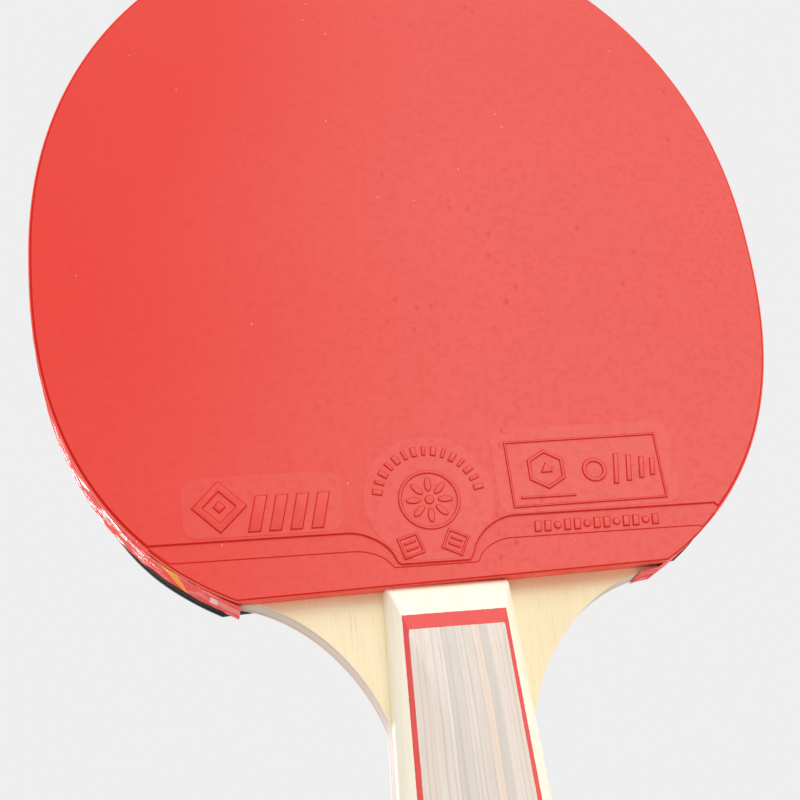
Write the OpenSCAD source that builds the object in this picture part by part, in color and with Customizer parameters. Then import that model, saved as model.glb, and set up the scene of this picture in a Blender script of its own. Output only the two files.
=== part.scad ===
// Table tennis paddle: a five-ply wooden blade with a rubber on each side, tape
// round the edge of the head, and a layered wooden scale on each side of the handle.
//
// X runs across the blade, Y through its thickness and Z up from the butt to the tip.
// The front rubber faces -Y. The origin is on the centre line, in the middle of the
// blade's thickness, at the straight edge where the rubbers stop and the handle starts.

/* [Head] */
// Widest part of the head
head_width = 150; // [130:1:165]
// Height of the head, from the rubbers' straight edge to the tip
head_height = 157; // [140:1:175]
// Height above the rubbers' straight edge at which the head is widest
widest_height = 71.5; // [60:0.5:80]
// Length of the rubbers' straight edge
rubber_edge_length = 83; // [60:1:95]
// Fullness of the head above its widest point, where 2 is an ellipse
upper_fullness = 2.1; // [1.9:0.05:2.6]
// Fullness of the head below its widest point
lower_fullness = 2.45; // [2:0.05:2.8]
// Length of the concave wings, from the rubbers' straight edge down the handle
wing_length = 33; // [25:1:38]
// Sharpness of the wings' curve, where 2 is an ellipse
wing_fullness = 1.75; // [1.5:0.05:2.2]

/* [Plies] */
// Thickness of each outer ply
outer_ply_thickness = 0.6; // [0.4:0.05:1]
// Thickness of each ply next to the core
inner_ply_thickness = 0.7; // [0.4:0.05:1.2]
// Thickness of the core ply
core_thickness = 3.4; // [2.4:0.1:4.4]

/* [Rubbers] */
// Thickness of each sponge
sponge_thickness = 2.1; // [1.2:0.1:2.4]
// Thickness of each topsheet, pimples included
topsheet_thickness = 1.7; // [1.2:0.1:2]

/* [Edge tape] */
// Width of the tape round the head
tape_width = 8; // [5:0.5:9]
// How far the tape's middle lies behind the blade's middle
tape_shift = 0.6; // [0:0.1:1]
// Thickness of the tape
tape_thickness = 0.25; // [0.15:0.05:0.6]

/* [Handle] */
// Length of the handle below the rubbers' straight edge
handle_length = 100; // [86:1:120]
// Width of the handle at its upper end
neck_width = 24; // [20:0.5:28]
// Width of the handle at its butt
butt_width = 34; // [30:0.5:38]
// Share of the flare that is a straight taper, the rest being curved
flare_straightness = 0.8; // [0.4:0.05:1]
// Thickness of the pale wooden base of each scale
scale_base_thickness = 4.6; // [3.5:0.1:6]
// Thickness of the thin dyed veneer in the middle of each scale
middle_veneer_thickness = 0.65; // [0.5:0.05:1]
// Thickness of the striped veneer on top of each scale
top_veneer_thickness = 2.25; // [1.5:0.05:3]
// Thickness of each scale at its end against the rubber
scale_lip = 1; // [0.5:0.1:2]
// Length over which each scale rises from its lip to its crown
ramp_length = 40; // [30:1:42]
// Rounding of the butt end
butt_round = 3; // [1:0.5:5]
// Gap between the scales and the rubbers
scale_gap = 0.2; // [0.1:0.1:0.5]

/* [Hidden] */

// Heights of the layer faces above the blade's middle plane
core_face = core_thickness / 2;
inner_ply_face = core_face + inner_ply_thickness;
blade_face = inner_ply_face + outer_ply_thickness;
sponge_face = blade_face + sponge_thickness;
rubber_face = sponge_face + topsheet_thickness;

// Half-heights of the two part-ovals that make up the head
upper_reach = head_height - widest_height;
edge_share = pow(rubber_edge_length / head_width, lower_fullness);
lower_reach = widest_height / pow(1 - edge_share, 1 / lower_fullness);
upper_step = 3.75;
lower_steps = 20;

// The crown of a scale is an arc of an oval that stops short of its top
crown_angle = 80;
scale_thickness = scale_base_thickness + middle_veneer_thickness + top_veneer_thickness;
dome_height = scale_thickness / sin(crown_angle);
middle_veneer_face = scale_base_thickness + middle_veneer_thickness;
slice_film = 0.01;
layer_slices = 4;

// Depths below the rubbers' straight edge between which the handle's sides are straight
flare_depths = [0, ramp_length, (ramp_length + handle_length) / 2, handle_length];
flare = [for (depth = flare_depths) [depth, flare_half(depth / handle_length)]];
wing_step = 6;

pale_wood = [0.97, 0.91, 0.76];
inner_wood = [0.86, 0.76, 0.64];
base_wood = [0.99, 0.96, 0.86];
veneer_red = [0.87, 0.24, 0.24];
veneer_grey = [0.80, 0.76, 0.70];
rubber_red = [0.93, 0.27, 0.23];
sponge_red = [0.90, 0.33, 0.22];
rubber_black = [0.08, 0.08, 0.09];
tape_red = [0.85, 0.13, 0.12];

// A point on an oval of the given fullness, with half-sizes of 1
function oval_point(angle, fullness) = [
    sign(cos(angle)) * pow(abs(cos(angle)), 2 / fullness),
    sign(sin(angle)) * pow(abs(sin(angle)), 2 / fullness)
];

// The head's outline, anticlockwise from its lower right corner, grown by a skin
function head_points(skin = 0) =
    let (
        half = head_width / 2 + skin,
        lower = lower_reach + skin,
        corner = asin(pow(widest_height / lower, lower_fullness / 2)),
        turn = corner / lower_steps,
        right_arc = [for (i = [lower_steps : -1 : 1]) oval_point(-turn * i, lower_fullness)],
        top_arc = [for (angle = [0 : upper_step : 180]) oval_point(angle, upper_fullness)],
        left_arc = [for (i = [1 : lower_steps]) oval_point(180 + turn * i, lower_fullness)]
    )
    concat(
        [for (p = right_arc) [half * p[0], widest_height + lower * p[1]]],
        [for (p = top_arc) [half * p[0], widest_height + (upper_reach + skin) * p[1]]],
        [for (p = left_arc) [half * p[0], widest_height + lower * p[1]]]
    );

// Half-width of the handle at a share of its length below the rubbers
function flare_half(share) =
    neck_width / 2 + (butt_width - neck_width) / 2
    * (flare_straightness * share + (1 - flare_straightness) * share * share);

function handle_half(depth) = lookup(depth, flare);

// The concave wing runs from the rubbers' corner into the side of the handle
function wing_half(depth) =
    let (rise = max(0, 1 - depth / wing_length))
    rubber_edge_length / 2
    - (rubber_edge_length - neck_width) / 2 * pow(1 - pow(rise, wing_fullness), 1 / wing_fullness);

// The right side of the blade below the rubbers
function tail_points() =
    let (
        wing_depths = [for (angle = [wing_step : wing_step : 90])
            wing_length * (1 - pow(cos(angle), 2 / wing_fullness))],
        handle_depths = [for (depth = flare_depths) if (depth > wing_length) depth]
    )
    [for (depth = concat(wing_depths, handle_depths)) [max(wing_half(depth), handle_half(depth)), -depth]];

// The blade's outline: the head, then down the left side of the tail and up its right side
function blade_points() =
    let (side = tail_points(), last = len(side) - 1)
    concat(
        head_points(),
        [for (p = side) [-p[0], p[1]]],
        [for (i = [last : -1 : 0]) side[i]]
    );

// Angle round the crown's oval at a height above the blade's face
function crown_turn(height) = asin(min(1, height / dome_height));

// How far the upper end of a scale has drawn back at a height above the blade's face
function ramp_depth(height) =
    let (rise = max(0, height - scale_lip) / (dome_height - scale_lip))
    scale_gap + (ramp_length - scale_gap) * (1 - cos(asin(min(1, rise))));

// Draws a flat shape as a plate between two heights in front of the middle plane
module plate(low, high) {
    translate([0, -low, 0]) rotate([90, 0, 0]) linear_extrude(high - low) children();
}

module on_back() {
    mirror([0, 1, 0]) children();
}

module blade_plate(low, high) {
    plate(low, high) polygon(blade_points());
}

module head_plate(low, high) {
    plate(low, high) polygon(head_points());
}

// One flat slice of a scale between two depths, at a height above the blade's face
module scale_slice(height, upper, lower) {
    narrowing = cos(crown_turn(height));
    top = max(upper, ramp_depth(height));
    bottom = min(lower, handle_length - butt_round * (1 - narrowing));
    top_half = handle_half(top) * narrowing;
    bottom_half = handle_half(bottom) * narrowing;
    corners = [[-top_half, -top], [top_half, -top], [bottom_half, -bottom], [-bottom_half, -bottom]];
    plate(blade_face + height, blade_face + height + slice_film) polygon(corners);
}

// One layer of a scale, domed across its width and ramped down to its lip
module scale_layer(low, high) {
    rise = (high - slice_film - low) / layer_slices;
    for (i = [0 : len(flare_depths) - 2])
        hull()
            for (k = [0 : layer_slices])
                scale_slice(low + rise * k, flare_depths[i], flare_depths[i + 1]);
}

// Blade, from the middle outwards

module ply_core() {
    color(pale_wood) blade_plate(-core_face, core_face);
}

module inner_ply() {
    color(inner_wood) blade_plate(core_face, inner_ply_face);
}

module outer_ply() {
    color(pale_wood) blade_plate(inner_ply_face, blade_face);
}

module ply_inner_front() {
    inner_ply();
}

module ply_inner_back() {
    on_back() inner_ply();
}

module ply_outer_front() {
    outer_ply();
}

module ply_outer_back() {
    on_back() outer_ply();
}

// Rubbers

module sponge() {
    color(sponge_red) head_plate(blade_face, sponge_face);
}

module sponge_front() {
    sponge();
}

module sponge_back() {
    on_back() sponge();
}

module topsheet_front() {
    color(rubber_red) head_plate(sponge_face, rubber_face);
}

module topsheet_back() {
    color(rubber_black) on_back() head_plate(sponge_face, rubber_face);
}

// A thin band round the edge of the head, lapping onto both rubbers
module edge_tape() {
    color(tape_red) plate(tape_shift - tape_width / 2, tape_shift + tape_width / 2) difference() {
        polygon(head_points(tape_thickness));
        polygon(head_points());
    }
}

// Handle scales, each of three glued layers

module scale_base() {
    color(base_wood) scale_layer(0, scale_base_thickness);
}

module middle_veneer() {
    color(veneer_red) scale_layer(scale_base_thickness, middle_veneer_face);
}

module top_veneer() {
    color(veneer_grey) scale_layer(middle_veneer_face, scale_thickness);
}

module scale_base_front() {
    scale_base();
}

module scale_base_back() {
    on_back() scale_base();
}

module middle_veneer_front() {
    middle_veneer();
}

module middle_veneer_back() {
    on_back() middle_veneer();
}

module top_veneer_front() {
    top_veneer();
}

module top_veneer_back() {
    on_back() top_veneer();
}

ply_outer_front();
ply_inner_front();
ply_core();
ply_inner_back();
ply_outer_back();
sponge_front();
topsheet_front();
sponge_back();
topsheet_back();
edge_tape();
scale_base_front();
middle_veneer_front();
top_veneer_front();
scale_base_back();
middle_veneer_back();
top_veneer_back();
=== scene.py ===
import bpy
import bmesh
import math
from mathutils import Matrix, Vector, noise


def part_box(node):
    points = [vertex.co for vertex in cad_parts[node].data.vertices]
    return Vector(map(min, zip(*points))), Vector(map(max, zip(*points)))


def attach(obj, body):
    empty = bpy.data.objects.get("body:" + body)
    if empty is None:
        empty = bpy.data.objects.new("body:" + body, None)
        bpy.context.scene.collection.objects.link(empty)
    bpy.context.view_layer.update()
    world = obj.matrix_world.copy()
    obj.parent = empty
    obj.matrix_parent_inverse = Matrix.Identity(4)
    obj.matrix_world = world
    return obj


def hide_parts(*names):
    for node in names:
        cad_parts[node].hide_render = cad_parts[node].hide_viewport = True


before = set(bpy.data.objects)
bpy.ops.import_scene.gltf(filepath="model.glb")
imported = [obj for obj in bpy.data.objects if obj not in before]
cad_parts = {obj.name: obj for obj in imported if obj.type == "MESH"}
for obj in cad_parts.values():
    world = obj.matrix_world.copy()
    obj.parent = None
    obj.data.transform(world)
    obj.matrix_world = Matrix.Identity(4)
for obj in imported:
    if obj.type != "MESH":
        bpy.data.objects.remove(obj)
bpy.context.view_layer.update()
mm = 0.001
scene = bpy.context.scene

# where the layers lie, read from the frame
coreLow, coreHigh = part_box("ply_core")
headHalf = coreHigh.x
tipHeight = coreHigh.z
buttHeight = coreLow.z
layerFaces = {
    "core": coreHigh.y,
    "inner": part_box("ply_inner_back")[1].y,
    "blade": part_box("ply_outer_back")[1].y,
    "sponge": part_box("sponge_back")[1].y,
    "rubber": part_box("topsheet_back")[1].y,
    "base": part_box("scale_base_back")[1].y,
    "middle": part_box("middle_veneer_back")[1].y,
    "crown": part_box("top_veneer_back")[1].y,
}

blade = {
    "wingLength": 33 * mm,
    "neckHalf": 12 * mm,
    "buttHalf": 17 * mm,
    "wing": 1.75,  # fullness of the wings' curve
    "straight": 0.8,  # how much of the handle's flare is straight
    "wingSteps": 30,
    "tailSteps": 12,
    "sandedFrom": -0.02 * mm,  # the sanded stretch of the wings' edges, in z
    "sandedTo": -31 * mm,
    "sanded": 0.35 * mm,
}
handleLength = -buttHeight

# the camera
cameraPlace = {
    "target": Vector((-3.54, 0, 39.68)) * mm,
    "distance": 279.4 * mm,
    "azimuth": math.radians(-11.03),
    "elevation": math.radians(-23.96),
    "roll": math.radians(-7.3),
    "lens": 62.7,
}


def makeCamera(place):
    a, e, roll = place["azimuth"], place["elevation"], place["roll"]
    back = Vector((math.sin(a) * math.cos(e), -math.cos(a) * math.cos(e), math.sin(e)))
    level = Vector((0, 0, 1)).cross(back).normalized()
    rise = back.cross(level)
    right = level * math.cos(roll) + rise * math.sin(roll)
    up = back.cross(right)
    data = bpy.data.cameras.new("camera")
    data.lens = place["lens"]
    data.sensor_width = 36
    data.clip_start = 0.01
    eye = bpy.data.objects.new("camera", data)
    turn = Matrix((right, up, back)).transposed().to_4x4()
    eye.matrix_world = Matrix.Translation(place["target"] + back * place["distance"]) @ turn
    scene.collection.objects.link(eye)
    scene.camera = eye


makeCamera(cameraPlace)
print("camera placed")


# shader maths
class Sock:  # a socket that takes arithmetic
    def __init__(self, finish, out):
        self.finish, self.out = finish, out

    def __add__(self, other):
        return self.finish.sum("ADD", self, other)

    def __sub__(self, other):
        return self.finish.sum("SUBTRACT", self, other)

    def __rsub__(self, other):
        return self.finish.sum("SUBTRACT", other, self)

    def __mul__(self, other):
        return self.finish.sum("MULTIPLY", self, other)

    def __truediv__(self, other):
        return self.finish.sum("DIVIDE", self, other)

    __radd__ = __add__
    __rmul__ = __mul__


class Finish:  # one material and the nodes it is made of
    def __init__(self, name, **constants):
        self.material = bpy.data.materials.new(name)
        self.material.use_nodes = True
        self.tree = self.material.node_tree
        self.shader = self.tree.nodes["Principled BSDF"]
        for key, value in constants.items():
            self.shader.inputs[key.replace("_", " ")].default_value = value
        self.place = self.node("ShaderNodeTexCoord", out="Object")
        self.x, self.y, self.z = self.parts(self.place)

    def node(self, kind, settings=None, inputs=None, out=0):
        made = self.tree.nodes.new(kind)
        for key, value in (settings or {}).items():
            if key == "stops":
                ramp = made.color_ramp
                while len(ramp.elements) < len(value):
                    ramp.elements.new(1)
                for element, (spot, colour) in zip(ramp.elements, value):
                    element.position = spot
                    element.color = (*colour, 1)
            else:
                setattr(made, key, value)
        for key, value in (inputs or {}).items():
            self.feed(made.inputs[key], value)
        return Sock(self, made.outputs[out])

    def feed(self, socket, value):
        if isinstance(value, Sock):
            self.tree.links.new(value.out, socket)
        elif socket.type == "RGBA" and len(value) == 3:
            socket.default_value = (*value, 1)
        else:
            socket.default_value = value

    def sum(self, operation, a, b=0.0):
        return self.node("ShaderNodeMath", {"operation": operation}, {0: a, 1: b})

    def parts(self, vector):
        return [self.node("ShaderNodeSeparateXYZ", inputs={0: vector}, out=i) for i in range(3)]

    def stretched(self, scale):
        return self.node("ShaderNodeMapping", inputs={"Vector": self.place, "Scale": scale})

    def noise(self, scale, detail=2, roughness=0.5, vector=None):
        spot = vector or self.place
        return self.node("ShaderNodeTexNoise", inputs={
            "Vector": spot, "Scale": scale, "Detail": detail, "Roughness": roughness})

    def between(self, value, low, high):  # 0 at low, 1 at high, smooth
        return self.node("ShaderNodeMapRange", {"interpolation_type": "SMOOTHSTEP"}, {
            "Value": value, "From Min": low, "From Max": high})

    def blend(self, factor, a, b):
        settings = {"data_type": "RGBA", "blend_type": "MIX", "clamp_factor": True}
        return self.node("ShaderNodeMix", settings, {0: factor, 6: a, 7: b}, out=2)

    def ramp(self, value, stops):
        return self.node("ShaderNodeValToRGB", {"stops": stops}, {0: value})

    def bump(self, height, distance, strength=1.0):
        return self.node("ShaderNodeBump", inputs={
            "Height": height, "Distance": distance, "Strength": strength})

    def show(self, **channels):
        for key, value in channels.items():
            self.feed(self.shader.inputs[key.replace("_", " ")], value)
        return self.material


# rubbers
pimples = {"pitch": 1.95 * mm, "radius": 0.55 * mm}


def pimpleDots(f):  # round dots on a triangular lattice, 1 in the middle of each
    across = f.x / pimples["pitch"]
    up = f.z / (pimples["pitch"] * math.sqrt(3))

    def lattice(shift):
        dx = f.sum("FRACT", across + shift) - 0.5
        dz = (f.sum("FRACT", up + shift) - 0.5) * math.sqrt(3)
        return f.sum("SQRT", dx * dx + dz * dz)

    nearest = f.sum("MINIMUM", lattice(0.0), lattice(0.5))
    reach = pimples["radius"] / pimples["pitch"]
    return f.between(nearest, reach * 1.35, reach * 0.55)


rubberLook = {
    "perMetre": {"cloud": 22, "mottle": 620, "grain": 1500, "dents": 290.0, "specks": 260.0},
    # painted sheen: the paler tone grows across the face and towards its foot and fades at the tip, as the
    # light falls; the cloud adds random bloom
    "flank": (-72 * mm, 20 * mm),
    "foot": (62 * mm, 12 * mm),
    "tip": (70 * mm, 130 * mm),
    "sheenAndBloom": {"flank": 0.52, "foot": 0.16, "tip": 0.19, "cloud": 0.26},
    "tone": {"mottle": 0.21, "dots": 0.2, "dents": 0.5, "specks": 0.4},
    "height": {"grain": 0.4, "mottle": 0.5, "dots": 0.25, "dents": 0.6},
    "dottedAcross": (30 * mm, 52 * mm),
    "dottedUp": (20 * mm, 60 * mm),
    "dentedAcross": (-25 * mm, 5 * mm),
    "roughness": 0.46,
    "bump": 0.06 * mm,
}


def rubberFinish(name, deep, sheenAndBloomTone, speckled, tint=0.0, dotted=1.0, shine=0.4):
    f = Finish(name, Specular_IOR_Level=shine)
    perMetre, share = rubberLook["perMetre"], rubberLook["sheenAndBloom"]
    strength, raised = rubberLook["tone"], rubberLook["height"]
    cloud = f.noise(perMetre["cloud"], 4, 0.6)
    flank = f.between(f.x, *rubberLook["flank"])
    foot = f.between(f.z, *rubberLook["foot"])
    tip = f.between(f.z, *rubberLook["tip"])
    # painted sheen from the flank, foot and tip masks, with random bloom from the cloud and the patch tint
    sheenAndBloom = flank * share["flank"] + foot * share["foot"] - tip * share["tip"]
    sheenAndBloom = sheenAndBloom + (cloud - 0.5) * share["cloud"] + tint
    tone = f.blend(sheenAndBloom, deep, sheenAndBloomTone)
    mottle = f.noise(perMetre["mottle"], 3, 0.6)
    tone = f.blend(f.between(mottle, 0.45, 0.66) * strength["mottle"], tone, tuple(c * 0.86 for c in deep))
    flanks = f.between(f.sum("ABSOLUTE", f.x), *rubberLook["dottedAcross"])
    flanks = flanks * f.between(f.z, *rubberLook["dottedUp"])
    dots = pimpleDots(f) * f.between(f.noise(30, 2), 0.40, 0.64) * flanks * dotted
    tone = f.blend(dots * strength["dots"], tone, deep)
    dents = f.node("ShaderNodeTexVoronoi", inputs={
        "Vector": f.stretched((1.0, 1.0, 0.6)), "Scale": perMetre["dents"], "Randomness": 1.0})
    dent = f.between(dents, 0.18, 0.08) * f.between(f.noise(38, 1), 0.50, 0.56)
    dent = dent * f.between(f.x, *rubberLook["dentedAcross"])
    tone = f.blend(dent * strength["dents"], tone, tuple(c * 0.85 for c in deep))
    cells = f.node("ShaderNodeTexVoronoi", inputs={
        "Vector": f.place, "Scale": perMetre["specks"], "Randomness": 1.0})
    speck = f.between(cells, 0.06, 0.03) * f.between(f.noise(60, 1), 0.56, 0.62)
    tone = f.blend(speck * strength["specks"], tone, speckled)
    grain = f.noise(perMetre["grain"], 3, 0.6)
    height = grain * raised["grain"] + mottle * raised["mottle"] + dots * raised["dots"]
    height = height - dent * raised["dents"]
    return f.show(Base_Color=tone, Roughness=rubberLook["roughness"] + cloud * 0.14 + grain * 0.08,
                  Normal=f.bump(height, rubberLook["bump"], 0.5))


def cutFinish(name, dark, pale):  # the knife-cut side of a rubber, with faint rows of pimples
    f = Finish(name, Specular_IOR_Level=0.25)
    torn = f.noise(900, 4, 0.65)
    rows = f.between(f.sum("SINE", f.x * (math.tau / pimples["pitch"])), -0.2, 0.8)
    tone = f.blend(f.between(torn, 0.3, 0.75), dark, pale)
    tone = f.blend(rows * 0.12, tone, dark)
    return f.show(Base_Color=tone, Roughness=0.6 + torn * 0.25, Normal=f.bump(torn, 0.12 * mm, 0.6))


# each rubber's deep tone, its paler tone (painted sheen and bloom) and its speck tone
redTones = ((0.71, 0.026, 0.012), (0.74, 0.124, 0.099), (0.95, 0.55, 0.5))
blackTones = ((0.010, 0.010, 0.011), (0.020, 0.020, 0.022), (0.3, 0.3, 0.3))
redRubber = [
    rubberFinish("redFace", *redTones),
    # a darker copy of the red face: painted shade for the walls and rounded rims of raised steps and marks
    rubberFinish("redEdgeShade", (0.63, 0.010, 0.006), (0.65, 0.026, 0.020), redTones[2],
                 dotted=0.0, shine=0.12),
    rubberFinish("redPatch", *redTones, tint=0.14, dotted=0.0),
    # the red cut side is partly the cut rubber's own paler colour and partly painted light, raised to stay
    # bright in the shade it faces
    cutFinish("redCut", (0.92, 0.09, 0.055), (0.96, 0.15, 0.105)),
]
blackRubber = [
    rubberFinish("blackFace", *blackTones, shine=0.25),
    # a darker copy of the black face: painted shade for the walls and rounded rims of raised steps and marks
    rubberFinish("blackEdgeShade", (0.006, 0.006, 0.006), (0.010, 0.010, 0.011), blackTones[2],
                 dotted=0.0, shine=0.2),
    rubberFinish("blackPatch", *blackTones, tint=0.2, dotted=0.0, shine=0.25),
    cutFinish("blackCut", (0.008, 0.008, 0.008), (0.022, 0.022, 0.022)),
]


def spongeFinish(name, dark, middle, pale):
    f = Finish(name, Specular_IOR_Level=0.2)
    cells = f.node("ShaderNodeTexVoronoi", inputs={"Vector": f.place, "Scale": 2600.0})
    cloud = f.noise(160, 4, 0.6)
    tone = f.blend(f.between(cloud, 0.35, 0.7), middle, pale)
    tone = f.blend(f.between(cells, 0.25, 0.05) * 0.5, tone, dark)
    return f.show(Base_Color=tone, Roughness=0.85 + cloud * 0.1, Normal=f.bump(cells, 0.25 * mm, 0.7))


redSponge = spongeFinish("redSponge", (0.74, 0.06, 0.035), (0.93, 0.13, 0.085), (0.96, 0.20, 0.14))
blackSponge = spongeFinish("blackSponge", (0.004, 0.004, 0.004), (0.014, 0.014, 0.014), (0.03, 0.03, 0.03))


# wood
woodLook = {
    "alongFibre": 0.05,  # how far each pattern is drawn out along the handle
    "alongFigure": 0.12,
    "alongPores": 0.035,
    "figurePerMetre": 70,
    "poresPerMetre": 2600,
    # the warm painted shade under the rubber's edge: its colour, band, wander and share
    "underRubberShade": (0.80, 0.36, 0.19),
    "underRubberShadeBand": (-3.6 * mm, -0.3 * mm),
    "underRubberShadeWander": 1.5 * mm,
    "underRubberShadeShare": 0.55,
    "bump": 0.05 * mm,
}


def woodFinish(name, pale, dark, grainPitch, figure=0.5, roughness=0.55, shadedUnderRubber=False):
    f = Finish(name, Specular_IOR_Level=0.35)
    drawn = f.stretched((1.0, 1.0, woodLook["alongFibre"]))
    fibre = f.noise(1.0 / grainPitch, 4, 0.62, drawn)
    broad = f.noise(woodLook["figurePerMetre"], 3, 0.5, f.stretched((1.0, 1.0, woodLook["alongFigure"])))
    pores = f.noise(woodLook["poresPerMetre"], 2, 0.5, f.stretched((1.0, 1.0, woodLook["alongPores"])))
    flecks = f.between(pores, 0.66, 0.74)
    tone = f.blend(f.between(broad, 0.25, 0.8) * figure, pale, dark)
    tone = f.blend(f.between(fibre, 0.42, 0.78) * 0.42, tone, dark)
    tone = f.blend(flecks * 0.22, tone, tuple(c * 0.62 for c in dark))
    if shadedUnderRubber:  # painted shade with a red cast of painted bounce light, close under the rubber's edge
        edge = f.between(f.z + (broad - 0.5) * woodLook["underRubberShadeWander"], *woodLook["underRubberShadeBand"])
        tone = f.blend(edge * woodLook["underRubberShadeShare"], tone, woodLook["underRubberShade"])
    return f.show(Base_Color=tone, Roughness=roughness + fibre * 0.15,
                  Normal=f.bump(fibre + flecks * -0.6, woodLook["bump"], 0.5))


outerWood = woodFinish("outerWood", (0.86, 0.745, 0.50), (0.78, 0.60, 0.33), 0.45 * mm, 0.3, shadedUnderRubber=True)
innerWood = woodFinish("innerWood", (0.62, 0.44, 0.38), (0.46, 0.30, 0.25), 0.4 * mm)
coreWood = woodFinish("coreWood", (0.72, 0.60, 0.50), (0.56, 0.43, 0.36), 0.5 * mm)
scaleWood = woodFinish("scaleWood", (0.93, 0.885, 0.73), (0.86, 0.75, 0.52), 0.6 * mm, 0.3, 0.42)
redVeneer = woodFinish("redVeneer", (0.76, 0.095, 0.085), (0.66, 0.05, 0.045), 0.35 * mm, 0.5, 0.5)

stripes = {
    "across": 24,
    "wander": 0.3,
    "tones": [(0.0, (0.61, 0.56, 0.50)), (0.2, (0.72, 0.63, 0.56)), (0.4, (0.78, 0.70, 0.64)),
              (0.6, (0.72, 0.63, 0.54)), (0.8, (0.77, 0.62, 0.51)), (1.0, (0.74, 0.66, 0.60))],
    "fibre": (0.50, 0.43, 0.37),
    "seam": (0.36, 0.31, 0.26),
    "bump": 0.05 * mm,
}


def stripedFinish():
    f = Finish("stripedVeneer", Specular_IOR_Level=0.35)
    share = f.z / -handleLength
    half = blade["neckHalf"] + (share * blade["straight"] + share * share * (1 - blade["straight"])) * (
        blade["buttHalf"] - blade["neckHalf"])
    sway = (f.noise(45, 2, 0.5, f.stretched((0.3, 0.3, 1.0))) - 0.5) * 0.5
    across = f.x / half * (stripes["across"] / 2) + sway
    across = across + f.sum("SINE", across * 1.9) * stripes["wander"]
    number = f.sum("FLOOR", across)
    inside = f.sum("FRACT", across)
    shade = f.node("ShaderNodeTexWhiteNoise", {"noise_dimensions": "1D"}, {"W": number})
    tone = f.ramp(shade, stripes["tones"])
    fibre = f.noise(1500, 4, 0.6, f.stretched((1.0, 1.0, 0.03)))
    tone = f.blend(f.between(fibre, 0.4, 0.72) * 0.22, tone, stripes["fibre"])
    depth = f.node("ShaderNodeTexWhiteNoise", {"noise_dimensions": "1D"}, {"W": number + 31.5})
    seam = f.between(inside, 0.30, 0.0) * (0.25 + depth * 0.6)
    tone = f.blend(seam * 0.5, tone, stripes["seam"])
    return f.show(Base_Color=tone, Roughness=0.5 + fibre * 0.15,
                  Normal=f.bump(fibre * 0.6 - seam * 0.5, stripes["bump"], 0.5))


stripedVeneer = stripedFinish()


# edge tape
tapeLow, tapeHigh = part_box("edge_tape")
tapePrint = {
    "lineLevel": 3.4 * mm,
    "lineRise": 2.8 * mm,
    "lineHalf": 1.15 * mm,
    "line": (0.95, 0.34, 0.02),
    "worn": (0.84, 0.34, 0.31),
    "bare": (0.84, 0.72, 0.66),
    "bareFrom": (-42.3 * mm, -42.5 * mm),
    "bump": 0.7 * mm,
}


def tapeFinish(name, deep, pale, printed):
    f = Finish(name, Specular_IOR_Level=0.4)
    crinkle = f.noise(260, 4, 0.6, f.stretched((1.0, 2.4, 1.0)))
    fine = f.noise(1700, 3, 0.6)
    tone = f.blend(f.between(crinkle, 0.3, 0.8), deep, pale)
    if printed:
        share = (f.y - tapeLow.y) / (tapeHigh.y - tapeLow.y)  # 0 at the front border, 1 at the back border
        middle = (1 - share) * tapePrint["lineRise"] + tapePrint["lineLevel"]
        away = f.sum("ABSOLUTE", f.z - middle)
        flash = f.between(away - (1 - share) * tapePrint["lineHalf"], 0.2 * mm, 0.1 * mm)
        flash = flash * f.between(f.x, 0.0, -1 * mm)
        tone = f.blend(flash, tone, tapePrint["line"])
        faded = f.between(f.z, 1.1 * mm, 0.9 * mm) * f.between(f.x, 0.0, -1 * mm)
        faded = faded * f.between(f.y, 1.0 * mm, 0.8 * mm) * f.between(f.y, -2.2 * mm, -2.0 * mm)
        tone = f.blend(faded * 0.6, tone, tapePrint["worn"])
        bare = f.between(f.x, *tapePrint["bareFrom"]) * faded
        tone = f.blend(bare * 0.75, tone, tapePrint["bare"])
    return f.show(Base_Color=tone, Roughness=0.85 - f.between(crinkle, 0.5, 0.62) * 0.6 + fine * 0.1,
                  Normal=f.bump(crinkle + fine * 0.3, tapePrint["bump"], 1.0))


tapeFilm = tapeFinish("tapeFilm", (0.90, 0.06, 0.05), (0.95, 0.11, 0.09), True)
# the tape's inner side is a darker copy of the film, painted shade
tapeBackShade = tapeFinish("tapeBackShade", (0.30, 0.012, 0.01), (0.38, 0.02, 0.018), False)
print("finishes made")


# shapes
head = {"widest": 71.5 * mm, "edgeHalf": 41.5 * mm, "upper": 2.1, "lower": 2.45, "turns": 288,
        "footFrom": 26 * mm, "footOver": 20 * mm}
edgeShare = (head["edgeHalf"] / headHalf) ** head["lower"]
lowerReach = head["widest"] / (1 - edgeShare) ** (1 / head["lower"])
upperReach = tipHeight - head["widest"]


def power(value, fullness):
    return math.copysign(abs(value) ** (2 / fullness), value)


def ontoHead(v, inset=0.0, cut=None):  # moves a vertex of a unit circle onto the head's outline
    angle = math.atan2(v.co.y, v.co.x)
    upper = angle >= 0
    fullness = head["upper"] if upper else head["lower"]
    reach = upperReach if upper else lowerReach
    if cut:  # a trimmed rubber keeps one overhang at its foot and another over the rest
        height = head["widest"] + reach * power(math.sin(angle), fullness)
        foot = min(max((head["footFrom"] - height) / head["footOver"], 0), 1)
        inset -= cut["over"] + (cut["footOver"] - cut["over"]) * foot * foot * (3 - 2 * foot)
    reach -= inset
    v.co = Vector(((headHalf - inset) * power(math.cos(angle), fullness), 0,
                   head["widest"] + reach * power(math.sin(angle), fullness)))


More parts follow.
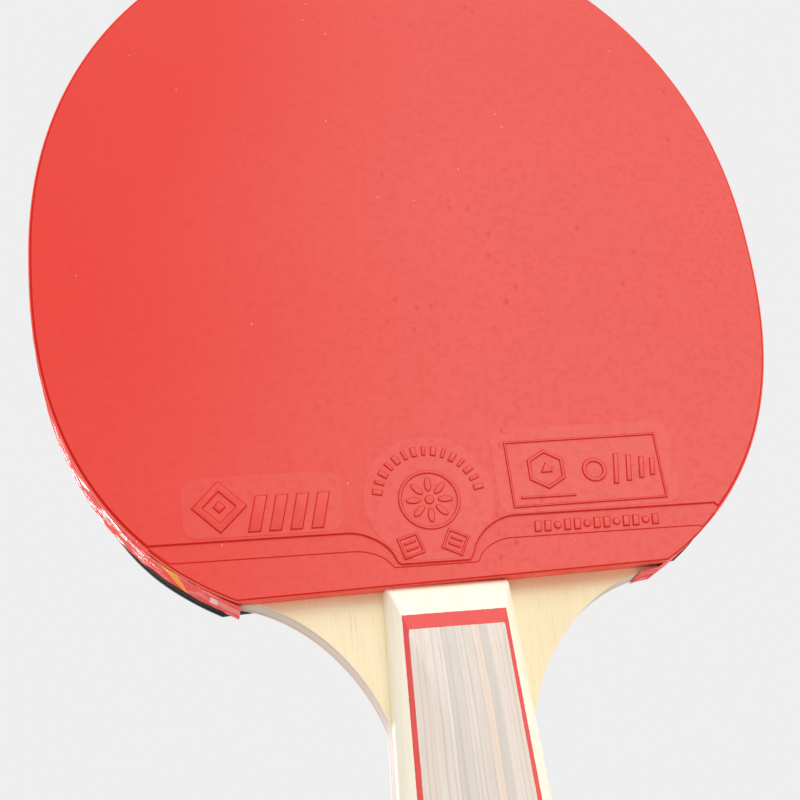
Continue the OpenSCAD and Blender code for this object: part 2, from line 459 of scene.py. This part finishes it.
def headFace(bm, lowest=0.0, inset=0.0, cut=None):  # the head's outline as one flat face, cut below
    made = bmesh.ops.create_circle(bm, cap_ends=True, segments=head["turns"], radius=1)
    for v in made["verts"]:
        ontoHead(v, inset, cut)
    tilt = cut["tilt"] if cut else 0.0
    around = made["verts"] + list({e for v in made["verts"] for e in v.link_edges})
    around += list({f for v in made["verts"] for f in v.link_faces})
    bmesh.ops.bisect_plane(bm, geom=around, dist=1e-7, plane_co=(0, 0, lowest), plane_no=(tilt, 0, -1),
                           clear_outer=True)
    return next(v for v in made["verts"] if v.is_valid).link_faces[0]


def lowestEdge(face):
    return min(face.edges, key=lambda e: e.verts[0].co.z + e.verts[1].co.z)


def thicken(bm, faces, low, high):  # a flat face in XZ becomes a plate from y = low to y = high
    bmesh.ops.translate(bm, verts=list({v for f in faces for v in f.verts}), vec=(0, low, 0))
    grown = bmesh.ops.extrude_face_region(bm, geom=faces)["geom"]
    verts = [g for g in grown if isinstance(g, bmesh.types.BMVert)]
    bmesh.ops.translate(bm, verts=verts, vec=(0, high - low, 0))
    return [g for g in grown if isinstance(g, bmesh.types.BMFace)]


def rimOf(faces):
    inside = set(faces)
    return list({e for f in faces for e in f.edges if not inside.issuperset(e.link_faces)})


def softenEdges(bm, edges, width, segments=2):
    return bmesh.ops.bevel(bm, geom=edges, offset=width, offset_type="OFFSET", segments=segments,
                           profile=0.5, affect="EDGES", material=-1, clamp_overlap=True)["faces"]


# where each finish stands in a rubber's list
faceTone, edgeShadeTone, patchTone, cutTone = range(4)


# walls and rounded rims take the darker finish, a painted shade, unless other finishes are given
def raisePlate(bm, faces, low, high, soft, segments=2, top=faceTone, wall=edgeShadeTone, rimTone=edgeShadeTone):
    plate = thicken(bm, faces, low, high)
    rim = rimOf(plate)
    for f in plate:
        f.material_index = top
    for f in {f for e in rim for f in e.link_faces} - set(plate):
        f.material_index = wall
    for f in softenEdges(bm, rim, soft, segments):
        f.material_index = rimTone


def smoothAll(bm, sharp=35):
    for f in bm.faces:
        f.smooth = len(f.verts) < 9
    for e in bm.edges:
        e.smooth = len(e.link_faces) == 2 and e.calc_face_angle(4) < math.radians(sharp)


def addPiece(name, bm, finishes, slot, *stoodFor):
    bmesh.ops.remove_doubles(bm, verts=bm.verts, dist=1e-7)
    bmesh.ops.recalc_face_normals(bm, faces=bm.faces)
    smoothAll(bm)
    mesh = bpy.data.meshes.new(name)
    bm.to_mesh(mesh)
    bm.free()
    piece = bpy.data.objects.new(name, mesh)
    scene.collection.objects.link(piece)
    for finish in finishes:
        mesh.materials.append(finish)
    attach(piece, "root")
    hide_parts(*stoodFor)
    return piece


# blade
def handleHalf(depth):
    share = max(depth, 0) / handleLength
    spread = blade["straight"] * share + (1 - blade["straight"]) * share * share
    return blade["neckHalf"] + (blade["buttHalf"] - blade["neckHalf"]) * spread


def wingHalf(depth):
    rise = max(0.0, 1 - depth / blade["wingLength"])
    drawn = (1 - rise ** blade["wing"]) ** (1 / blade["wing"])
    return head["edgeHalf"] - (head["edgeHalf"] - blade["neckHalf"]) * drawn


def tailDepths():
    turns = [math.radians(90 * i / blade["wingSteps"]) for i in range(1, blade["wingSteps"] + 1)]
    wing = [blade["wingLength"] * (1 - math.cos(turn) ** (2 / blade["wing"])) for turn in turns]
    rest = handleLength - blade["wingLength"]
    tail = [blade["wingLength"] + rest * i / blade["tailSteps"] for i in range(1, blade["tailSteps"] + 1)]
    return wing + tail


def makePly(name, low, high, finish, slot, node):
    bm = bmesh.new()
    face = headFace(bm)
    strip = [face]
    edge = lowestEdge(face)
    for depth in tailDepths():
        grown = bmesh.ops.extrude_edge_only(bm, edges=[edge])["geom"]
        ends = [g for g in grown if isinstance(g, bmesh.types.BMVert)]
        half = max(wingHalf(depth), handleHalf(depth))
        for v in ends:
            v.co = Vector((math.copysign(half, v.co.x), v.co.y, -depth))
        edge = [g for g in grown if isinstance(g, bmesh.types.BMEdge)
                and g.verts[0] in ends and g.verts[1] in ends][0]
        strip += [g for g in grown if isinstance(g, bmesh.types.BMFace)]
    outline = bmesh.ops.dissolve_faces(bm, faces=strip)["region"]
    top = thicken(bm, outline, low, high)
    if name.endswith("OuterPly"):  # the wings' long edges are sanded round
        wing = [e for e in rimOf(top)
                if all(blade["sandedTo"] < v.co.z < blade["sandedFrom"] for v in e.verts)]
        softenEdges(bm, wing, blade["sanded"], 3)
    addPiece(name, bm, [finish], slot, node)


makePly("corePly", -layerFaces["core"], layerFaces["core"], coreWood, "core_ply", "ply_core")
for side, sign in (("front", -1), ("back", 1)):
    makePly(side + "InnerPly", sign * layerFaces["core"], sign * layerFaces["inner"], innerWood,
            "inner_ply", "ply_inner_" + side)
    makePly(side + "OuterPly", sign * layerFaces["inner"], sign * layerFaces["blade"], outerWood,
            "outer_ply", "ply_outer_" + side)
print("blade made")


# sponges and topsheets
# Each rubber is trimmed by hand: its straight edge runs a little aslant, and the back one is cut
# inside the blade's outline, apart from its foot.
trim = {
    "front": {"lowest": -0.36 * mm, "tilt": 0.0243, "over": 0.1 * mm, "footOver": 0.1 * mm},
    "back": {"lowest": 1.6 * mm, "tilt": 0.052, "over": -1.0 * mm, "footOver": 0.4 * mm},
}
spongeInset = 0.1 * mm


def makeSponge(side, sign, finish):
    bm = bmesh.new()
    face = headFace(bm, trim[side]["lowest"], spongeInset, trim[side])
    thicken(bm, [face], sign * layerFaces["blade"], sign * layerFaces["sponge"])
    addPiece(side + "Sponge", bm, [finish], "sponge", "sponge_" + side)


makeSponge("front", -1, redSponge)
makeSponge("back", 1, blackSponge)

# The lower band of a topsheet is moulded in two shallow steps, with a tongue of full height
# round the round mark. Heights are in z, from the line where the head meets its wings.
band = {
    "middle": -1.9 * mm,
    "curve": 1.75,
    "upper": {"left": 9.9 * mm, "right": 11.4 * mm, "inner": 7.2 * mm, "outer": 16.0 * mm,
              "floor": 3.2 * mm, "inset": 0.45 * mm},
    "lower": {"left": 6.3 * mm, "right": 7.0 * mm, "inner": 8.3 * mm, "outer": 15.0 * mm,
              "floor": 2.7 * mm, "inset": 0.25 * mm},
    "drop": 0.3 * mm,
    "lowDrop": 0.42 * mm,
    "cuts": 150,
    "soft": 0.24 * mm,
    "rimSoft": 0.25 * mm,
    "paleFrom": 9.1 * mm,  # above this height the rim is as pale as the cut side
}


def bandHeight(x, line):
    away = abs(x - band["middle"])
    level = line["left"] if x < band["middle"] else line["right"]
    share = min(max((line["outer"] - away) / (line["outer"] - line["inner"]), 0), 1)
    return line["floor"] + (level - line["floor"]) * (1 - share ** band["curve"]) ** (1 / band["curve"])


def bandFace(bm, line, cut):
    face = headFace(bm, (line["left"] + line["right"]) / 2, line["inset"], dict(cut, tilt=0.0))
    made = bmesh.ops.subdivide_edges(bm, edges=[lowestEdge(face)], cuts=band["cuts"])["geom_inner"]
    cuts = [g for g in made if isinstance(g, bmesh.types.BMVert)]
    for v in cuts:
        v.co.z = bandHeight(v.co.x, line)
    return cuts[0].link_faces[0]


# raised marks
marks = {"high": 0.27 * mm, "root": 0.2 * mm, "soft": 0.21 * mm, "patchHigh": 0.06 * mm,
         "patchSoft": 0.06 * mm, "patchSteps": 6}
fine = 0.8  # the small marks have a sharper rim


def inMm(numbers):
    return tuple(c * mm for c in numbers)


def flatShape(bm, spot, width, height=None, turn=0.0, sides=4, lean=0.0):  # a flat shape in XZ
    height = height or width
    if sides == 4:
        made = bmesh.ops.create_grid(bm, x_segments=1, y_segments=1, size=0.5)["verts"]
    else:
        made = bmesh.ops.create_circle(bm, cap_ends=True, segments=sides, radius=0.5)["verts"]
    angle = math.radians(turn)
    for v in made:
        x = v.co.x * width + v.co.y * height * math.tan(math.radians(lean))
        z = v.co.y * height
        v.co = Vector((spot[0] + x * math.cos(angle) - z * math.sin(angle), 0,
                       spot[1] + x * math.sin(angle) + z * math.cos(angle)))
    faces = list({f for v in made for f in v.link_faces})
    for f in faces:
        f.normal_update()
    return faces


def hollowOut(bm, faces, width):  # leaves a frame of this width
    ring = bmesh.ops.inset_individual(bm, faces=faces, thickness=width, use_even_offset=True)["faces"]
    bmesh.ops.delete(bm, geom=faces, context="FACES_ONLY")
    return ring


def raiseMark(bm, faces, sign, face, soft=1.0):
    raisePlate(bm, faces, sign * (face - marks["root"]), sign * (face + marks["high"]), marks["soft"] * soft)


def raisePatch(bm, faces, sign, face, corner):  # a low rounded field round a mark
    if corner:
        made = bmesh.ops.bevel(bm, geom=faces[0].verts[:], offset=corner, offset_type="OFFSET",
                               segments=marks["patchSteps"], profile=0.5, affect="VERTICES", material=-1)
        faces = [made["verts"][0].link_faces[0]]
    raisePlate(bm, faces, sign * (face - marks["root"]), sign * (face + marks["patchHigh"]),
               marks["patchSoft"], top=patchTone, wall=patchTone, rimTone=patchTone)


blockMark = {  # in millimetres, as are the marks below
    "field": (-33.2, 16.6), "fieldSize": (30, 12), "fieldCorner": 3,
    "diamond": (-41.2, 16.6), "diamondWide": 7.4, "diamondFrame": 1.6, "diamondCore": 1.8,
    "bars": [-34.2, -30.3, -26.4, -22.5], "level": 14.9, "barSize": (2.4, 7.2), "barLean": 14,
}


def makeBlockMark(bm, sign, face):  # a diamond and four slanting bars
    field = flatShape(bm, inMm(blockMark["field"]), *inMm(blockMark["fieldSize"]))
    raisePatch(bm, field, sign, face, blockMark["fieldCorner"] * mm)
    spot = inMm(blockMark["diamond"])
    diamond = flatShape(bm, spot, blockMark["diamondWide"] * mm, turn=45)
    raiseMark(bm, hollowOut(bm, diamond, blockMark["diamondFrame"] * mm), sign, face)
    raiseMark(bm, flatShape(bm, spot, blockMark["diamondCore"] * mm, turn=45), sign, face)
    for x in blockMark["bars"]:
        bar = flatShape(bm, inMm((x, blockMark["level"])), *inMm(blockMark["barSize"]),
                        lean=blockMark["barLean"])
        raiseMark(bm, bar, sign, face)


roundMark = {
    "centre": (-1.7, 15.6), "field": 25.2, "fieldLift": 0.4, "fieldGap": 0.5,
    "ticks": 15, "reach": 10.0, "span": 78, "tickWide": (1.15, 0.75), "tickHigh": 2.0,
    "ring": 12.0, "ringFrame": 0.7, "hub": 1.9,
    "petals": 8, "petalReach": 3.1, "petalSize": (1.35, 3.0),
    "seals": (((-6.3, 6.7), 17), ((2.2, 6.9), -26)), "sealWide": 4.3, "sealFrame": 0.55,
    "strokes": (-0.65, 0.65), "strokeSize": (2.4, 0.5),
}


def makeRoundMark(bm, sign, face):  # a rosette in a ring, under an arc of ticks, with two little seals
    x, z = inMm(roundMark["centre"])
    field = flatShape(bm, (x, z + roundMark["fieldLift"] * mm), roundMark["field"] * mm, sides=72)
    for v in field[0].verts:  # the round field stays on the full-height tongue
        v.co.z = max(v.co.z, bandHeight(v.co.x, band["upper"]) + roundMark["fieldGap"] * mm)
    raisePatch(bm, field, sign, face, 0)
    for i in range(roundMark["ticks"]):
        turn = roundMark["span"] * (1 - 2 * i / (roundMark["ticks"] - 1))
        a = math.radians(90 + turn)
        reach = roundMark["reach"] * mm
        spot = (x + reach * math.cos(a), z + reach * math.sin(a))
        tick = flatShape(bm, spot, roundMark["tickWide"][i % 2] * mm, roundMark["tickHigh"] * mm, turn)
        raiseMark(bm, tick, sign, face, fine)
    ring = flatShape(bm, (x, z), roundMark["ring"] * mm, sides=48)
    raiseMark(bm, hollowOut(bm, ring, roundMark["ringFrame"] * mm), sign, face, fine)
    raiseMark(bm, flatShape(bm, (x, z), roundMark["hub"] * mm, sides=16), sign, face)
    for i in range(roundMark["petals"]):
        turn = 360 * i / roundMark["petals"]
        a = math.radians(90 + turn)
        reach = roundMark["petalReach"] * mm
        spot = (x + reach * math.cos(a), z + reach * math.sin(a))
        raiseMark(bm, flatShape(bm, spot, *inMm(roundMark["petalSize"]), turn, sides=12), sign, face, fine)
    for spot, turn in roundMark["seals"]:
        spot = inMm(spot)
        seal = flatShape(bm, spot, roundMark["sealWide"] * mm, turn=turn)
        raiseMark(bm, hollowOut(bm, seal, roundMark["sealFrame"] * mm), sign, face, fine)
        for step in roundMark["strokes"]:
            a = math.radians(turn + 90)
            inner = (spot[0] + step * mm * math.cos(a), spot[1] + step * mm * math.sin(a))
            raiseMark(bm, flatShape(bm, inner, *inMm(roundMark["strokeSize"]), turn), sign, face, fine)


frameMark = {
    "centre": (29.8, 19.8), "size": (31, 13.8), "turn": 0.5, "frame": 0.5,
    "fieldLift": 0.8, "fieldMore": (5.4, 3.6), "fieldTurn": 0.6, "fieldCorner": 2.5,
    "icon": (22.0, 20.4), "iconWide": 8.4, "iconFrame": 0.8, "iconCore": 3.0,
    "line": (21.6, 14.8), "lineSize": (11, 0.55),
    "ring": (31.6, 19.7), "ringWide": 5.0, "ringFrame": 0.9,
    "bars": [36.0, 38.6, 41.2, 43.4], "level": 19.7, "barWide": 1.1, "barHigh": 6.4,
    "barDrop": 0.9, "barLean": 8,
}


def makeFrameMark(bm, sign, face):  # a long frame holding a few plain shapes
    x, z = inMm(frameMark["centre"])
    wide, high = inMm(frameMark["size"])
    moreWide, moreHigh = inMm(frameMark["fieldMore"])
    field = flatShape(bm, (x, z + frameMark["fieldLift"] * mm), wide + moreWide, high + moreHigh,
                      frameMark["fieldTurn"])
    raisePatch(bm, field, sign, face, frameMark["fieldCorner"] * mm)
    border = flatShape(bm, (x, z), wide, high, frameMark["turn"])
    raiseMark(bm, hollowOut(bm, border, frameMark["frame"] * mm), sign, face, fine)
    icon = inMm(frameMark["icon"])
    nut = flatShape(bm, icon, frameMark["iconWide"] * mm, sides=6)
    raiseMark(bm, hollowOut(bm, nut, frameMark["iconFrame"] * mm), sign, face)
    raiseMark(bm, flatShape(bm, icon, frameMark["iconCore"] * mm, sides=3), sign, face)
    raiseMark(bm, flatShape(bm, inMm(frameMark["line"]), *inMm(frameMark["lineSize"])), sign, face, fine)
    ring = flatShape(bm, inMm(frameMark["ring"]), frameMark["ringWide"] * mm, sides=32)
    raiseMark(bm, hollowOut(bm, ring, frameMark["ringFrame"] * mm), sign, face)
    for i, place in enumerate(frameMark["bars"]):
        tall = (frameMark["barHigh"] - frameMark["barDrop"] * i) * mm
        bar = flatShape(bm, inMm((place, frameMark["level"])), frameMark["barWide"] * mm, tall,
                        lean=frameMark["barLean"])
        raiseMark(bm, bar, sign, face)


dashRow = {"first": 18.6, "pitch": 1.95, "count": 13, "level": 9.0,
           "dot": 1.5, "dash": (1.35, 2.2), "lean": 6}


def makeDashRow(bm, sign, face):  # a row of little dashes and dots in the band
    for i in range(dashRow["count"]):
        spot = inMm((dashRow["first"] + dashRow["pitch"] * i, dashRow["level"]))
        if i % 3 == 2:
            raiseMark(bm, flatShape(bm, spot, dashRow["dot"] * mm, sides=10), sign, face)
        else:
            raiseMark(bm, flatShape(bm, spot, *inMm(dashRow["dash"]), lean=dashRow["lean"]), sign, face)


def makeTopsheet(side, sign, finishes, slot):
    cut = dict(trim[side], tilt=-sign * trim[side]["tilt"])  # the back one is mirrored at the end
    bm = bmesh.new()
    inner, outer = layerFaces["sponge"], layerFaces["rubber"]
    face = headFace(bm, cut["lowest"], 0.0, cut)
    # below paleFrom the main plate's rim keeps the painted shade line; above it the rim takes the cut finish
    raisePlate(bm, [face], sign * inner, sign * (outer - band["lowDrop"]), band["rimSoft"], 3, wall=cutTone)
    for f in bm.faces:
        if f.material_index == edgeShadeTone and f.calc_center_median().z > band["paleFrom"]:
            f.material_index = cutTone
    root = sign * (outer - band["lowDrop"] - marks["root"])
    for line, drop in ((band["lower"], band["drop"]), (band["upper"], 0.0)):
        face = bandFace(bm, line, cut)
        raisePlate(bm, [face], root, sign * (outer - drop), band["soft"])
    for make in (makeBlockMark, makeRoundMark, makeFrameMark):
        make(bm, sign, outer)
    makeDashRow(bm, sign, outer - band["drop"])
    if sign > 0:  # the back rubber carries the same marks, seen from its own side
        bmesh.ops.scale(bm, vec=(-1, 1, 1), verts=bm.verts)
    addPiece(side + "Topsheet", bm, finishes, slot, "topsheet_" + side)


makeTopsheet("front", -1, redRubber, "red_topsheet")
makeTopsheet("back", 1, blackRubber, "black_topsheet")
print("rubbers made")


# handle scales
scale = {"lip": 1 * mm, "ramp": 40 * mm, "gap": 0.2 * mm, "crownAngle": 80, "butt": 3 * mm,
         "across": 96, "along": 200, "crowd": 1.5, "corner": 1.3 * mm, "blend": 0.45 * mm,
         "crisp": 0.05 * mm, "fallFrom": 0.9, "fallOver": 0.1, "ragged": 0.06 * mm}
domeHeight = (layerFaces["crown"] - layerFaces["blade"]) / math.sin(math.radians(scale["crownAngle"]))


def rampHeight(depth):
    share = min(max((depth - scale["gap"]) / (scale["ramp"] - scale["gap"]), 0), 1)
    return scale["lip"] + (domeHeight - scale["lip"]) * math.sqrt(1 - (1 - share) ** 2)


def softLeast(a, b, width):
    share = max(width - abs(a - b), 0) / width
    return min(a, b) - share * share * width / 4


def domeSpot(u, w):  # u runs round the dome from side to side, w down the handle
    depth = scale["gap"] + (handleLength - scale["gap"]) * (w ** scale["crowd"])
    turn = math.pi * u
    side, ramp = domeHeight * math.sin(turn), rampHeight(depth)
    crisp = min(min(side, ramp) / (layerFaces["base"] - layerFaces["blade"]), 1)
    height = softLeast(side, ramp, scale["blend"] * (1 - crisp) + scale["crisp"])
    height = min(max(height, 0), layerFaces["crown"] - layerFaces["blade"])
    half = handleHalf(depth)
    if depth < scale["corner"]:
        half -= scale["corner"] - math.sqrt(scale["corner"] ** 2 - (scale["corner"] - depth) ** 2)
    fall = scale["butt"] * (1 - math.cos(math.asin(min(height / domeHeight, 1))))
    if w >= scale["fallFrom"]:
        depth -= fall * (w - scale["fallFrom"]) / scale["fallOver"]
    return Vector((-half * math.cos(turn), -layerFaces["blade"] - height, -depth))


def makeDome():
    bm = bmesh.new()
    bmesh.ops.create_grid(bm, x_segments=scale["across"], y_segments=scale["along"], size=0.5)
    for v in bm.verts:
        v.co = domeSpot(v.co.x + 0.5, 0.5 - v.co.y)
    border = [e for e in bm.edges if e.is_boundary]
    grown = bmesh.ops.extrude_edge_only(bm, edges=border)["geom"]
    for v in grown:
        if isinstance(v, bmesh.types.BMVert):
            v.co.y = -layerFaces["blade"]
    bmesh.ops.remove_doubles(bm, verts=bm.verts, dist=1e-6)
    bmesh.ops.holes_fill(bm, edges=[e for e in bm.edges if e.is_boundary], sides=0)
    bmesh.ops.recalc_face_normals(bm, faces=bm.faces)
    return bm


def makeScaleLayer(name, low, high, sign, finish, slot, node):
    bm = makeDome()
    for level, facing in ((low, 1), (high, -1)):
        if layerFaces["blade"] < level < layerFaces["crown"]:
            cut = bmesh.ops.bisect_plane(bm, geom=bm.verts[:] + bm.edges[:] + bm.faces[:], dist=1e-7,
                                         plane_co=(0, -level, 0), plane_no=(0, facing, 0), clear_outer=True)
            rim = [g for g in cut["geom_cut"] if isinstance(g, bmesh.types.BMEdge)]
            for v in {v for e in rim for v in e.verts}:  # the saw leaves a slightly ragged line
                v.co.x += scale["ragged"] * noise.noise(v.co * 2900)
                v.co.z += scale["ragged"] * noise.noise(v.co * 3100)
            bmesh.ops.holes_fill(bm, edges=rim, sides=0)
    if sign > 0:
        bmesh.ops.scale(bm, vec=(1, -1, 1), verts=bm.verts)
    addPiece(name, bm, [finish], slot, node)


for side, sign in (("front", -1), ("back", 1)):
    makeScaleLayer(side + "ScaleBase", layerFaces["blade"], layerFaces["base"], sign, scaleWood,
                   "scale_wood", "scale_base_" + side)
    makeScaleLayer(side + "MiddleVeneer", layerFaces["base"], layerFaces["middle"], sign, redVeneer,
                   "red_veneer", "middle_veneer_" + side)
    makeScaleLayer(side + "TopVeneer", layerFaces["middle"], layerFaces["crown"], sign, stripedVeneer,
                   "striped_veneer", "top_veneer_" + side)
print("handle made")


# edge tape
tape = {
    "front": tapeLow.y,
    "wide": tapeHigh.y - tapeLow.y,
    "rows": 16,
    "lift": 0.1 * mm,
    "thickness": 0.1 * mm,
    "wrinkle": 0.12 * mm,
    "wrinklesPerMetre": 300,
    "lowest": -1.7 * mm,
    "looseFrom": 2.5 * mm,
    "loose": 0.3 * mm,
    "folded": 0.65 * mm,
    "agape": 0.5 * mm,
}


def makeTape():
    bm = bmesh.new()
    face = headFace(bm, tape["lowest"], -tape["lift"])
    gap = lowestEdge(face)
    bmesh.ops.delete(bm, geom=[face], context="FACES_ONLY")
    bmesh.ops.delete(bm, geom=[gap], context="EDGES")
    bmesh.ops.subdivide_edges(bm, edges=bm.edges, cuts=2)
    for v in bm.verts:  # one end hangs straight, the other is folded round the shoulder, along the wing
        v.co.y = tape["front"]
        if v.co.x > 0 and v.co.z < 0:
            depth = v.co.z / tape["lowest"]
            v.co.z = -tape["folded"] * depth - tape["lift"]
            v.co.x = wingHalf(tape["folded"] * depth) + tape["lift"] + tape["agape"] * depth * depth
    edges = bm.edges[:]
    for row in range(tape["rows"]):
        grown = bmesh.ops.extrude_edge_only(bm, edges=edges)["geom"]
        verts = [g for g in grown if isinstance(g, bmesh.types.BMVert)]
        bmesh.ops.translate(bm, verts=verts, vec=(0, tape["wide"] / tape["rows"], 0))
        edges = [g for g in grown if isinstance(g, bmesh.types.BMEdge)
                 and g.verts[0] in verts and g.verts[1] in verts]
    for v in bm.verts:
        away = Vector((v.co.x, 0, v.co.z - head["widest"])).normalized()
        loose = max(tape["looseFrom"] - v.co.z, 0) / (tape["looseFrom"] - tape["lowest"])
        slack = tape["loose"] * loose ** 2 if v.co.x < 0 else 0
        v.co += away * (tape["wrinkle"] * noise.noise(v.co * tape["wrinklesPerMetre"]) + slack)
    piece = addPiece("edgeTape", bm, [tapeFilm, tapeBackShade], "edge_tape", "edge_tape")
    wall = piece.modifiers.new("wall", "SOLIDIFY")
    wall.thickness = tape["thickness"]
    wall.offset = 0
    # the added shell of faces takes the darker copy, painted shade
    wall.material_offset = 1


makeTape()
print("tape made")


# floor, light
studio = {
    "floorRadius": 6,
    "floorGap": 0.5 * mm,
    "floorTones": ((0.60, 0.60, 0.60), (0.62, 0.62, 0.62)),
    "sky": (1.0, 1.0, 1.0, 1),
    "skyStrength": 0.862,
    "aim": Vector((0, 0, 0.05)),
}


def makeStage():
    bm = bmesh.new()
    bmesh.ops.create_circle(bm, cap_ends=True, segments=96, radius=studio["floorRadius"])
    mesh = bpy.data.meshes.new("floor")
    bm.to_mesh(mesh)
    bm.free()
    floor = bpy.data.objects.new("floor", mesh)
    floor.location.z = buttHeight - studio["floorGap"]
    scene.collection.objects.link(floor)
    f = Finish("floorPaint", Roughness=0.9, Specular_IOR_Level=0.1)
    mesh.materials.append(f.show(Base_Color=f.blend(f.noise(3, 2), *studio["floorTones"])))


def addLamp(name, kind, place, strength, **settings):
    data = bpy.data.lights.new(name, kind)
    data.energy = strength
    for key, value in settings.items():
        setattr(data, key, value)
    lamp = bpy.data.objects.new(name, data)
    lamp.location = place
    lamp.rotation_mode = "QUATERNION"
    lamp.rotation_quaternion = (Vector(place) - studio["aim"]).to_track_quat("Z", "Y")
    lamp.visible_camera = False
    scene.collection.objects.link(lamp)


makeStage()
world = bpy.data.worlds.new("studio")
world.use_nodes = True
world.node_tree.nodes["Background"].inputs["Color"].default_value = studio["sky"]
world.node_tree.nodes["Background"].inputs["Strength"].default_value = studio["skyStrength"]
scene.world = world
addLamp("key", "SUN", (0.35, -0.9, 0.95), 1.45, angle=math.radians(40))
addLamp("backKey", "SUN", (0.3, 1.1, 0.7), 1.2, angle=math.radians(50))
addLamp("rim", "AREA", (-0.52, 1.12, 0.22), 0.3, shape="DISK", size=0.3, spread=math.radians(40))
scene.view_settings.view_transform = "Standard"
scene.view_settings.look = "None"
